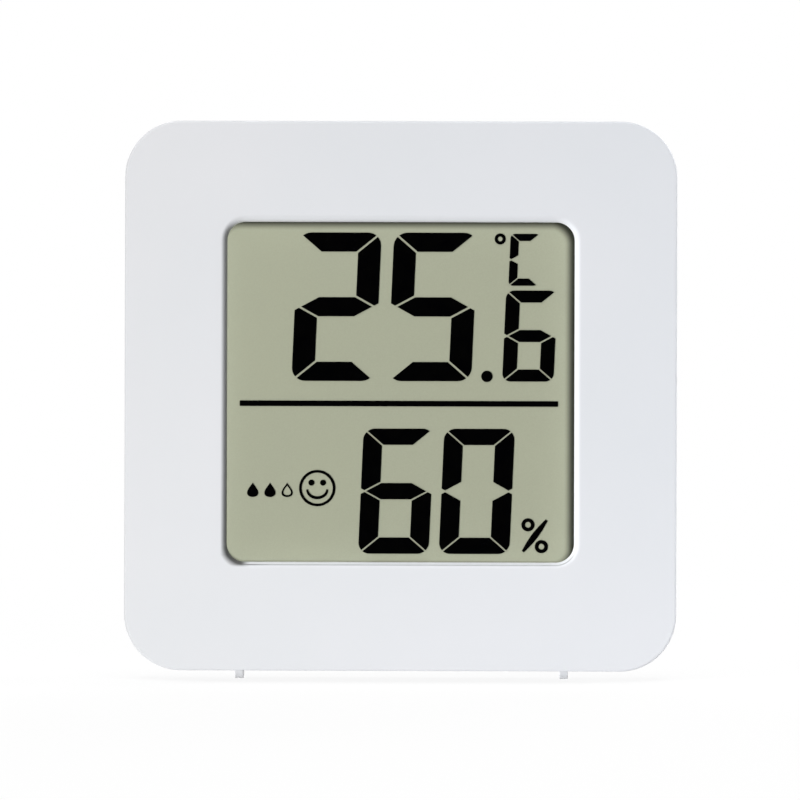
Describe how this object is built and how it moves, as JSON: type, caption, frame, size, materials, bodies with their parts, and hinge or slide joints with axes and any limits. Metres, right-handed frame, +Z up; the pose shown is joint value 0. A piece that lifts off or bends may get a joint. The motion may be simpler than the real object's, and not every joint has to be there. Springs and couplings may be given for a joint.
{
  "type": "temperature and humidity sensor",
  "caption": "Square desk thermometer and hygrometer with a recessed reflective display, fold-out stand, twist-lock battery door, unit button and vented back.",
  "frame": {"origin": "under the middle of the part, at the level of the stand's ears, which are its lowest points", "axes": "+Z up, +X to the right seen from the front, the display faces -Y"},
  "size_m": [0.043, 0.0126, 0.0438],
  "materials": {
    "case_plastic": "satin white moulded plastic",
    "button_plastic": "satin light grey moulded plastic",
    "clear_lens": "clear acrylic lens",
    "display_film": "grey green reflective display film",
    "display_glass": "display glass",
    "carrier_plastic": "white moulded plastic",
    "connector_rubber": "striped conductive rubber",
    "board_laminate": "green solder mask on glass laminate",
    "black_epoxy": "black epoxy",
    "sensor_ceramic": "white ceramic plate",
    "resistor_body": "black chip with tinned ends",
    "capacitor_body": "tan chip with tinned ends",
    "cell_steel": "plated steel can",
    "contact_steel": "nickel plated spring steel",
    "screw_steel": "zinc plated screw"
  },
  "bodies": {
    "case": {"front_case": "case_plastic", "rear_cover": "case_plastic", "display_window": "clear_lens", "front_polarizer": "display_film", "lcd_front_glass": "display_glass", "lcd_rear_glass": "display_glass", "rear_reflector": "display_film", "lcd_frame": "carrier_plastic", "zebra_strip": "connector_rubber", "circuit_board": "board_laminate", "controller_blob": "black_epoxy", "humidity_sensor": "sensor_ceramic", "thermistor": "black_epoxy", "chip_resistors": "resistor_body", "chip_capacitors": "capacitor_body", "unit_switch": "black_epoxy", "coin_cell": "cell_steel", "cell_positive_clip": "contact_steel", "cell_negative_spring": "contact_steel", "case_screws": "screw_steel", "board_screws": "screw_steel"},
    "stand": {"stand": "case_plastic"},
    "battery_door": {"battery_door": "case_plastic"},
    "unit_button": {"unit_button": "button_plastic", "switch_plunger": "button_plastic"}
  },
  "joints": [
    {"name": "stand_fold", "type": "hinge", "parent": "case", "child": "stand", "pos_m": [0, 0.00425, 0.002], "axis": [-1, 0, 0], "range_deg": [0, 70]},
    {"name": "door_twist", "type": "hinge", "parent": "case", "child": "battery_door", "pos_m": [0, 0.0057, 0.0286], "axis": [0, 1, 0], "range_deg": [0, 45]},
    {"name": "unit_press", "type": "slide", "parent": "case", "child": "unit_button", "axis": [0, -1, 0], "range_m": [0, 0.0004], "stiffness_N_per_m": 1500}
  ]
}
